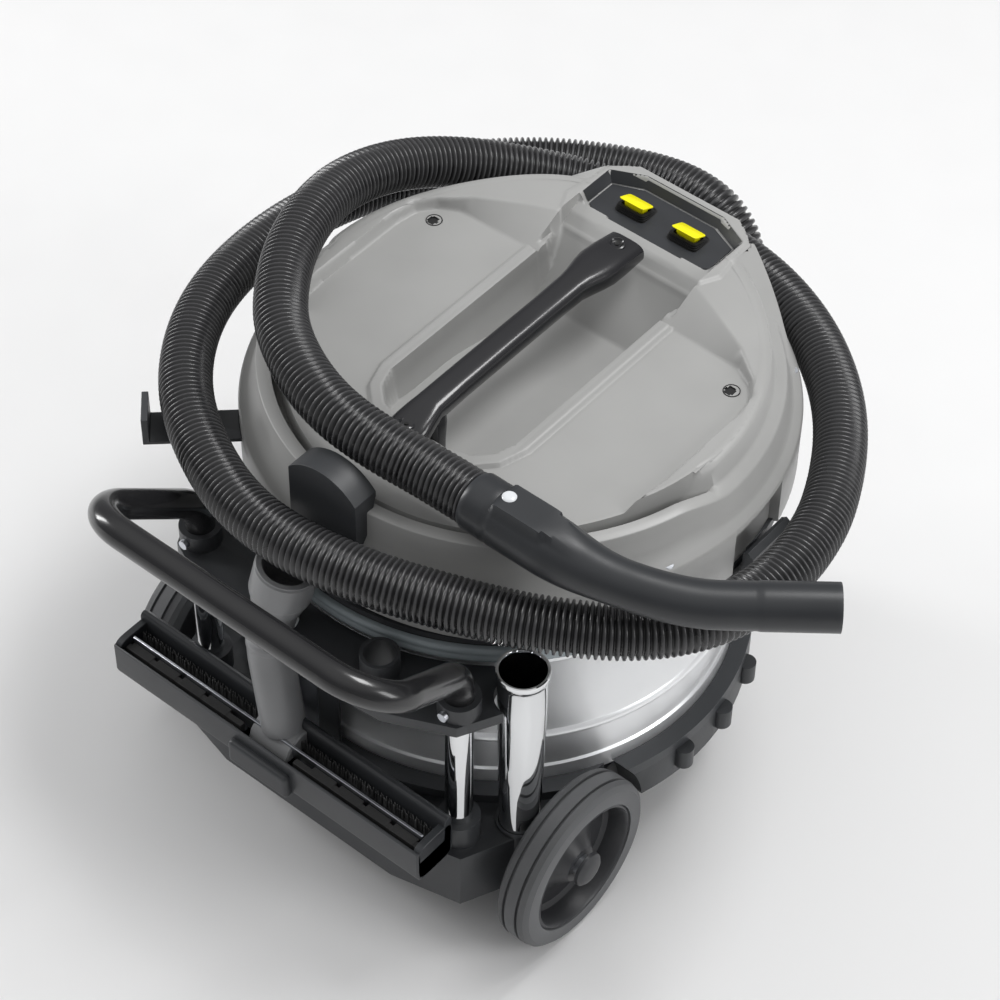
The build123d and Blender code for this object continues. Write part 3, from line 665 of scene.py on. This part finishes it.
def make_flank():
    count = 720
    mesh = bmesh.new()
    rows = [[mesh.verts.new(point) for point in flank_rings(tau * k / count)] for k in range(count)]
    for k in range(count):
        low, high = rows[k], rows[(k + 1) % count]
        for j in range(len(low) - 1):
            mesh.faces.new((low[j], low[j + 1], high[j + 1], high[j]))
    return mesh


def make_prow_face():
    """The upright front of the switch housing, down to the skirt."""
    outline = [(-81, -236), (-77, -250), (-57, -267.5), (57, -267.5), (77, -250), (81, -236)]
    rows = []
    mesh = bmesh.new()
    for z, grow in ((386, 1.0), (446, 0.995), (450, 0.985)):
        rows.append([mesh.verts.new((x * grow * MM, y * MM, z * MM)) for x, y in outline])
    for low, high in zip(rows, rows[1:]):
        for i in range(len(outline) - 1):
            mesh.faces.new((low[i], low[i + 1], high[i + 1], high[i]))
    return mesh


def make_panel_surround():
    """The dark sloping wall round the far side of the switch panel."""
    inner = [(-69.5, -207), (-69.5, -241), (-41.5, -253.5), (41.5, -253.5), (69.5, -241), (69.5, -207)]
    outer = [(-75.5, -206), (-75.5, -244.5), (-43.5, -260), (43.5, -260), (75.5, -244.5), (75.5, -206)]
    mesh = bmesh.new()
    low = [mesh.verts.new((x * MM, y * MM, 0.4418)) for x, y in inner]
    high = [mesh.verts.new((x * MM, y * MM, 0.4522)) for x, y in outer]
    for i in range(len(inner) - 1):
        mesh.faces.new((low[i], low[i + 1], high[i + 1], high[i]))
    wall = to_piece("switch_panel_wall", mesh, 25)
    finish_piece(wall, "head", "panel_plastic")


def make_head_cover():
    mesh = join(join(make_deck(), make_flank()), make_prow_face())
    cover = to_piece("head_cover_shell", mesh, sharp=60)
    finish_piece(cover, "head", "grey_plastic", "head_cover")
    for side in (-1, 1):
        # Each tray hole is a shallow, almost flush cup of black plastic: its black is painted shade standing
        # in for the hole's depth.
        profile = [(0, 0.4285), (0.0064, 0.4285), (0.0070, 0.4302)]
        profile += [(0.0076, 0.4303), (0.0079, 0.4298), (0.0079, 0.42)]
        place = Matrix.Translation((side * TRAY_HOLE[0] * MM, TRAY_HOLE[1] * MM, 0.0003))
        name = "tray_hole_right" if side < 0 else "tray_hole_left"
        cup = to_piece(name, lathe(profile, place, 40, closed=False))
        finish_piece(cup, "head", "bezel_plastic")


# ---- what stands on the head ----
def station(y, half, low, high, power=4.0, x=0.0):
    """A rounded section of a bar along Y."""
    place = Matrix.Translation((x, y, (low + high) / 2)) @ Matrix.Rotation(-pi / 2, 4, "X")
    return oval(place, half, (high - low) / 2, power, 40)


def make_carry_handle():
    bar = [
        (-0.1758, 0.0150, 0.443, 0.458), (-0.1745, 0.0190, 0.441, 0.461), (-0.150, 0.0205, 0.441, 0.4655),
        (-0.132, 0.0210, 0.442, 0.4670), (-0.120, 0.0190, 0.443, 0.4675), (-0.106, 0.0155, 0.444, 0.4680),
        (-0.095, 0.0140, 0.446, 0.4675), (-0.060, 0.0135, 0.446, 0.4670), (0.000, 0.0135, 0.446, 0.4670),
        (0.060, 0.0137, 0.446, 0.4665), (0.095, 0.0142, 0.445, 0.4655), (0.106, 0.0165, 0.442, 0.4630),
        (0.118, 0.0185, 0.437, 0.4600), (0.134, 0.0185, 0.434, 0.4560), (0.1375, 0.0150, 0.436, 0.4520),
    ]
    mesh = skin([station(y, half, low, high, 3.2) for y, half, low, high in bar])
    leg = []
    for z, half, y0, y1 in ((0.400, 0.0165, 0.090, 0.105), (0.425, 0.0165, 0.089, 0.105),
                            (0.445, 0.0160, 0.086, 0.106), (0.456, 0.0130, 0.084, 0.108)):
        place = Matrix.Translation((0, (y0 + y1) / 2, z))
        leg.append(oval(place, half, (y1 - y0) / 2, 4.0, 32))
    handle = to_piece("carry_handle_grip", join(mesh, skin(leg)), sharp=50)
    finish_piece(handle, "head", "handle_plastic", "carry_handle")
    make_handle_screw("front", -0.159, 0.4645, -4, "handle_screws")
    make_handle_screw("rear", 0.124, 0.4588, 10)


def make_handle_screw(name, y, z, slope, *nodes):
    """A screw in its shallow recess on the handle's end, which slopes by that many degrees."""
    place = Matrix.Translation((0, y, z)) @ Matrix.Rotation(radians(slope), 4, "X")
    ring = [(0.0052, 0.0), (0.0064, 0.0012), (0.0076, 0.0006), (0.0078, -0.001)]
    cup = to_piece(f"handle_screw_recess_{name}", lathe(ring, place, 40, closed=False))
    finish_piece(cup, "head", "handle_plastic")
    head = [(0, 0.0005), (0.0018, 0.0005), (0.0020, -0.0012), (0.0034, -0.0012)]
    head += [(0.0050, -0.0002), (0.0052, -0.002)]
    screw = to_piece(f"handle_screw_{name}", lathe(head, place, 32, closed=False))
    finish_piece(screw, "head", "bezel_plastic", *nodes)


def leaning(ring, middle, slope):
    """The ring with its height rising backwards from the middle."""
    return [Vector((point.x, point.y, point.z + slope * (point.y - middle))) for point in ring]


def switch_ring(x, y, z, half_x, half_y, power, slope):
    """A rounded rectangle round a switch's middle that rises backwards."""
    return leaning(oval(Matrix.Translation((x, y, z)), half_x, half_y, power, 48), y, slope)


def make_bezel(name, x, y):
    """Four dark ribs that narrow upwards and lean forwards."""
    rings = []
    for k in range(4):
        for rise, inset in ((0.0, 0.0), (0.0008, 0.0), (0.0009, 0.0009), (0.0013, 0.0009)):
            level = 0.4412 + 0.0013 * k + rise
            half_x, half_y = 0.0172 - 0.0006 * k - inset, 0.0130 - 0.0006 * k - inset
            rings.append(switch_ring(x, y, level, half_x, half_y, 6, 0.09 * k))
    rings.append(switch_ring(x, y, 0.4466, 0.0124, 0.0080, 7, 0.27))
    rings.append(switch_ring(x, y, 0.4400, 0.0122, 0.0078, 7, 0.0))
    bezel = to_piece(f"switch_bezel_{name}_ribs", skin(rings), sharp=40)
    finish_piece(bezel, "head", "bezel_plastic", f"switch_bezel_{name}")


def make_rocker(name, x, y):
    """A flat yellow cap on a narrower stem."""
    rings = []
    for z, half_x, half_y, slope in (
            (0.4385, 0.0105, 0.0045, 0.0), (0.4440, 0.0105, 0.0045, 0.0), (0.4500, 0.0105, 0.0055, 0.42),
            (0.4503, 0.0130, 0.0082, 0.45), (0.4507, 0.0138, 0.0088, 0.45), (0.4516, 0.0138, 0.0088, 0.45),
            (0.4521, 0.0132, 0.0082, 0.45)):
        rings.append(switch_ring(x, y, z, half_x, half_y, 8, slope))
    rocker = to_piece(f"rocker_{name}_cap", skin(rings), sharp=50)
    finish_piece(rocker, f"rocker_{name}", "rocker_yellow", f"rocker_{name}")


def make_switches():
    for name in ("left", "right"):
        low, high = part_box(f"switch_bezel_{name}")
        x, y = (low.x + high.x) / 2, (low.y + high.y) / 2
        make_bezel(name, x, y)
        make_rocker(name, x, y)
    panel = softened("switch_panel", 0.0006)
    finish_piece(panel, "head", "panel_plastic", "switch_panel")


# ---- wheels ----
def make_wheel(name, side):
    low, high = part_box(f"tyre_{name}")
    radius = (high.z - low.z) / 2
    width = high.x - low.x
    y, z = (low.y + high.y) / 2, (low.z + high.z) / 2
    place = axis_x((low.x + high.x) / 2, y, z, side)
    w = width / 2
    outer = [(radius - 0.020, -w), (radius - 0.006, -w), (radius - 0.0015, -w + 0.0035)]
    outer += [(radius - 0.0004, -w + 0.008)]
    for centre in (-0.007, 0.007):
        outer += [(radius, centre - 0.0016), (radius - 0.003, centre - 0.0012)]
        outer += [(radius - 0.003, centre + 0.0012), (radius, centre + 0.0016)]
    outer += [(radius - 0.0004, w - 0.008), (radius - 0.0015, w - 0.0035)]
    outer += [(radius - 0.006, w), (radius - 0.020, w)]
    tyre = to_piece(f"tyre_{name}_tread", lathe(outer, place, 128))
    finish_piece(tyre, f"wheel_{name}", "tyre", f"tyre_{name}")
    r = radius - 0.020
    disc = [(0.0101, -w + 0.001), (0.024, -w + 0.001), (0.026, -w + 0.006), (r - 0.006, -w + 0.006)]
    disc += [(r - 0.003, -w + 0.002), (r, -w + 0.002), (r, w - 0.002), (r - 0.003, w - 0.0005)]
    disc += [(r - 0.005, w - 0.003), (r - 0.007, w - 0.020), (r - 0.012, w - 0.023), (0.034, w - 0.021)]
    disc += [(0.026, w - 0.015), (0.0175, w - 0.006), (0.0101, w - 0.006)]
    hub = to_piece(f"hub_{name}_disc", lathe(disc, place, 96))
    finish_piece(hub, f"wheel_{name}", "hub_plastic", f"hub_{name}")


def make_axle_caps():
    low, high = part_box("axle_caps")
    mesh = bmesh.new()
    for side in (-1, 1):
        x = high.x if side > 0 else low.x
        place = axis_x(x, (low.y + high.y) / 2, (low.z + high.z) / 2, side)
        dome = [(0, 0), (0.008, -0.0003), (0.0135, -0.0016), (0.0165, -0.0042)]
        dome += [(0.0170, -0.0075), (0, -0.0075)]
        mesh = join(mesh, lathe(dome, place, 48))
    finish_piece(to_piece("axle_cap_domes", mesh), "base", "hub_plastic", "axle_caps")


def make_castor_roller(name):
    low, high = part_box(f"castor_wheel_{name}")
    radius = (high.z - low.z) / 2
    w = (high.x - low.x) / 2
    place = axis_x((low.x + high.x) / 2, (low.y + high.y) / 2, (low.z + high.z) / 2)
    profile = [(0.0041, -w), (0.012, -w), (0.013, -w + 0.003), (radius - 0.008, -w + 0.003)]
    profile += [(radius - 0.006, -w), (radius - 0.002, -w + 0.001), (radius, -w + 0.005)]
    profile += [(radius, w - 0.005), (radius - 0.002, w - 0.001)]
    profile += [(radius - 0.006, w), (radius - 0.008, w - 0.003), (0.013, w - 0.003), (0.012, w), (0.0041, w)]
    roller = to_piece(f"castor_wheel_{name}_tread", lathe(profile, place, 72))
    finish_piece(roller, f"castor_roller_{name}", "castor_plastic", f"castor_wheel_{name}")


# ---- container and rack ----
def make_container():
    r, wall = 0.220, 0.0015
    outside = [(0, 0.126), (0.205, 0.126), (0.212, 0.1265), (0.2195, 0.1300), (0.2222, 0.1345)]
    outside += [(0.2225, 0.1500), (0.2222, 0.1535), (0.2203, 0.1555), (r, 0.158), (r, 0.190)]
    outside += [(0.2212, 0.1915), (0.2228, 0.1940), (0.2232, 0.196), (0.2228, 0.1980), (0.2212, 0.2005)]
    outside += [(r, 0.202), (r, 0.2920), (0.2208, 0.2940), (0.2216, 0.2965), (0.2208, 0.2990)]
    outside += [(r, 0.3010), (r, 0.3200), (0.2196, 0.3215), (0.2190, 0.3220)]
    inside = [(r - wall, 0.3218), (r - wall, 0.158), (r - wall, 0.134), (0.210, 0.1276), (0, 0.1276)]
    body = to_piece("container_drum", lathe(outside + inside, count=192), sharp=28)
    finish_piece(body, "base", "steel", "container")
    ring = [(0.2202, 0.304), (0.2245, 0.3042), (0.2262, 0.3058), (0.2270, 0.3085)]
    ring += [(0.2262, 0.3110), (0.2256, 0.3125)]
    ring += [(0.2262, 0.3140), (0.2270, 0.3165), (0.2262, 0.3192), (0.2245, 0.3208), (0.2202, 0.321)]
    band = to_piece("container_band_ring", lathe(ring, count=192), sharp=50)
    finish_piece(band, "base", "band_coat", "container_band")


def make_suction_tube():
    low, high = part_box("suction_tube")
    x, y = (low.x + high.x) / 2, (low.y + high.y) / 2
    z0, z1 = low.z, high.z
    profile = [(0.0171, z0), (0.0186, z0), (0.0186, z0 + 0.040), (0.0190, z0 + 0.052), (0.0215, z1 - 0.045)]
    profile += [(0.0216, z1 - 0.012), (0.0222, z1 - 0.008), (0.0233, z1 - 0.006), (0.0236, z1 - 0.003)]
    profile += [(0.0232, z1 - 0.0006), (0.0222, z1), (0.0206, z1 - 0.0004), (0.0200, z1 - 0.002)]
    profile += [(0.0200, z1 - 0.046), (0.0196, z1 - 0.048), (0.0171, z0 + 0.040)]
    tube = to_piece("suction_tube_chrome", lathe(profile, Matrix.Translation((x, y, 0)), 96), sharp=30)
    finish_piece(tube, "suction_tube", "chrome", "suction_tube")


# ---- the parked floor nozzle ----
HUB_X = 0.020             # the nozzle's neck and hub stand beside its middle
HUB_GAP = 0.031           # half the gap in the rubber strip at the neck
NECK_ROUTE = [(0.025, 0.2485, 0.370), (0.034, 0.2530, 0.325), (0.045, 0.2585, 0.270), (0.033, 0.2635, 0.221),
              (0.022, 0.268, 0.176)]


def neck_radius(depth):
    """The neck's outer radius at a distance below its mouth."""
    if depth < 0.0015:
        return 0.0268
    if depth < 0.034:
        return 0.0280
    if depth < 0.036:
        return 0.0272
    if depth < 0.048:
        return 0.0238
    return 0.0212 if 0.098 < depth < 0.106 else 0.0203


def make_nozzle_neck():
    line, length = evenly(spline_points([Vector(place) for place in NECK_ROUTE], "neck_route"), 0.0015)
    places = along(line)
    rings = [oval(places[30], 0.0208, 0.0208, count=64), oval(places[1], 0.0210, 0.0210, count=64),
             oval(places[0], 0.0222, 0.0222, count=64)]
    for step, place in enumerate(places):
        radius = neck_radius(length * step / (len(places) - 1))
        rings.append(oval(place, radius, radius, count=64))
    drum = [(0.0041, -0.023), (0.0215, -0.023), (0.0230, -0.0215)]
    drum += [(0.0230, 0.0215), (0.0215, 0.023), (0.0041, 0.023)]
    mesh = join(skin(rings), lathe(drum, axis_x(HUB_X + 0.001, 0.269, 0.160), 64))
    neck = to_piece("nozzle_neck_socket", mesh)
    finish_piece(neck, "neck", "neck_plastic", "nozzle_neck")


def make_neck_bracket():
    """The plate that stands between the parked neck and the container, with its dark side flange."""
    plate = softened_block("neck_bracket_plate", (0.014, 0.053), (0.2305, 0.2325), (0.1275, 0.2240), 0.0008)
    finish_piece(plate, "base", "zinc")
    flange = softened_block("neck_bracket_flange", (-0.011, 0.0135), (0.2295, 0.2330), (0.1275, 0.2080),
                            0.0010)
    finish_piece(flange, "base", "dark_plastic")


def make_nozzle():
    low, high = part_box("nozzle_body")
    section = [(0.2945, 0.1382), (0.2985, 0.1405), (0.3000, 0.1450), (0.3000, 0.1760), (0.2992, 0.1772)]
    section += [(0.2978, 0.1772), (0.2972, 0.1760), (0.2968, 0.1640), (0.2650, 0.1640), (0.2640, 0.1860)]
    section += [(0.2620, 0.1890), (0.2590, 0.1895), (0.2555, 0.1870), (0.2545, 0.1830), (0.2562, 0.1430)]
    section += [(0.2580, 0.1400), (0.2620, 0.1382)]
    rings = []
    for x, pinch in ((low.x, 0.03), (low.x + 0.001, 0.0), (high.x - 0.001, 0.0), (high.x, 0.03)):
        rings.append([Vector((x, y + (0.277 - y) * pinch, z)) for y, z in section])
    body = skin(rings)
    for x0, x1 in ((low.x, low.x + 0.007), (high.x - 0.007, high.x)):
        cap = [oval(axis_x(x, 0.2765, 0.1600), 0.021, 0.0225, 5, 32) for x in (x0, x1)]
        body = join(body, skin(cap))
    bar = to_piece("nozzle_bar", body, sharp=30)
    bevel(bar, 0.0007)
    finish_piece(bar, "nozzle", "tool_plastic", "nozzle_body")
    hub = softened_block("nozzle_hub", (HUB_X - 0.034, HUB_X + 0.036), (0.262, 0.3070), (0.1365, 0.1640),
                         0.005)
    finish_piece(hub, "nozzle", "tool_plastic")
    make_strips(low.x + 0.009, high.x - 0.009)


def bar_rings(xs, ys, zs):
    """The two rings of a straight bar."""
    corners = ((xs[0], ys[0]), (xs[1], ys[0]), (xs[1], ys[1]), (xs[0], ys[1]))
    return [[Vector((x, y, z)) for x, y in corners] for z in zs]


def make_strips(x0, x1):
    """A notched rubber strip, a brush strip behind it and a bright metal lip between them."""
    make_teeth(x0, x1)
    lip = skin(bar_rings((x0, x1), (0.2812, 0.2838), (0.1645, 0.1800)))
    rail = to_piece("nozzle_metal_lip", lip, sharp=30)
    bevel(rail, 0.0005)
    finish_piece(rail, "nozzle", "zinc")
    make_brush(x0, x1)


def make_teeth(x0, x1):
    """Eleven notched lengths of rubber on a spine, left out at the neck."""
    count = 11
    mesh = bmesh.new()
    pitch = (x1 - x0) / count
    for k in range(count):
        a = x0 + pitch * k + 0.0024
        b = x0 + pitch * (k + 1) - 0.0024
        if a < HUB_X + HUB_GAP and b > HUB_X - HUB_GAP:
            continue
        mesh = join(mesh, skin(bar_rings((a, b), (0.2842, 0.2935), (0.1650, 0.1752))))
    for span in ((x0, HUB_X - HUB_GAP), (HUB_X + HUB_GAP, x1)):
        mesh = join(mesh, skin(bar_rings(span, (0.2875, 0.2934), (0.1645, 0.1750))))
    strip = to_piece("nozzle_rubber_teeth", mesh, sharp=30)
    bevel(strip, 0.0004)
    finish_piece(strip, "nozzle", "rubber", "nozzle_rubber_strip")


def add_tuft(mesh, rings):
    """Adds one bristle tuft, a closed skin through two rings."""
    rows = [[mesh.verts.new(point) for point in ring] for ring in rings]
    count = len(rows[0])
    for i in range(count):
        j = (i + 1) % count
        mesh.faces.new((rows[0][i], rows[0][j], rows[1][j], rows[1][i]))
    mesh.faces.new(reversed(rows[0]))
    mesh.faces.new(rows[1])


def make_brush(x0, x1):
    mesh = bmesh.new()
    step = 0.0019
    for k in range(int((x1 - x0) / step)):
        for row in range(2):
            x = x0 + step * (k + 0.5 * row + 0.25)
            y = 0.2695 + 0.0022 * row
            lean = 0.0006 * sin(k * 2.4 + row)
            root = oval(Matrix.Translation((x, y, 0.164)), 0.0007, 0.0007, 2, 5)
            tip = oval(Matrix.Translation((x + lean, y + lean, 0.1765)), 0.00045, 0.00045, 2, 5)
            add_tuft(mesh, (root, tip))
    brush = to_piece("nozzle_brush_tufts", mesh, sharp=60)
    finish_piece(brush, "nozzle", "bristle", "nozzle_brush_strip")


# ---- putting it together ----
SOFTENED = {
    "base": ("chassis", "tube_shelf", "latch_bracket_left", "latch_bracket_right"),
    "head": ("rear_hook", "side_hook"),
    "latch_left": ("latch_left",),
    "latch_right": ("latch_right",),
    "castor_left": ("castor_fork_left",),
    "castor_right": ("castor_fork_right",),
}


def dress_cad_nodes():
    for name, node in NODES.items():
        node.data.materials.clear()
        node.data.materials.append(MATERIALS[SLOTS[name]])


MATERIALS = make_materials()
make_camera()
make_stage()
dress_cad_nodes()
hose, hose_points, hose_length = make_hose()
hand_tube = make_hand_tube()
button = make_release_button()
connector = make_hose_connector()
make_head_cover()
make_panel_surround()
make_carry_handle()
make_switches()
for wheel_name, wheel_side in (("left", 1), ("right", -1)):
    make_wheel(wheel_name, wheel_side)
    make_castor_roller(wheel_name)
make_axle_caps()
make_container()
make_suction_tube()
make_nozzle_neck()
make_neck_bracket()
make_nozzle()
for body_name, node_names in SOFTENED.items():
    for node_name in node_names:
        finish_piece(softened(node_name), body_name, SLOTS[node_name], node_name)
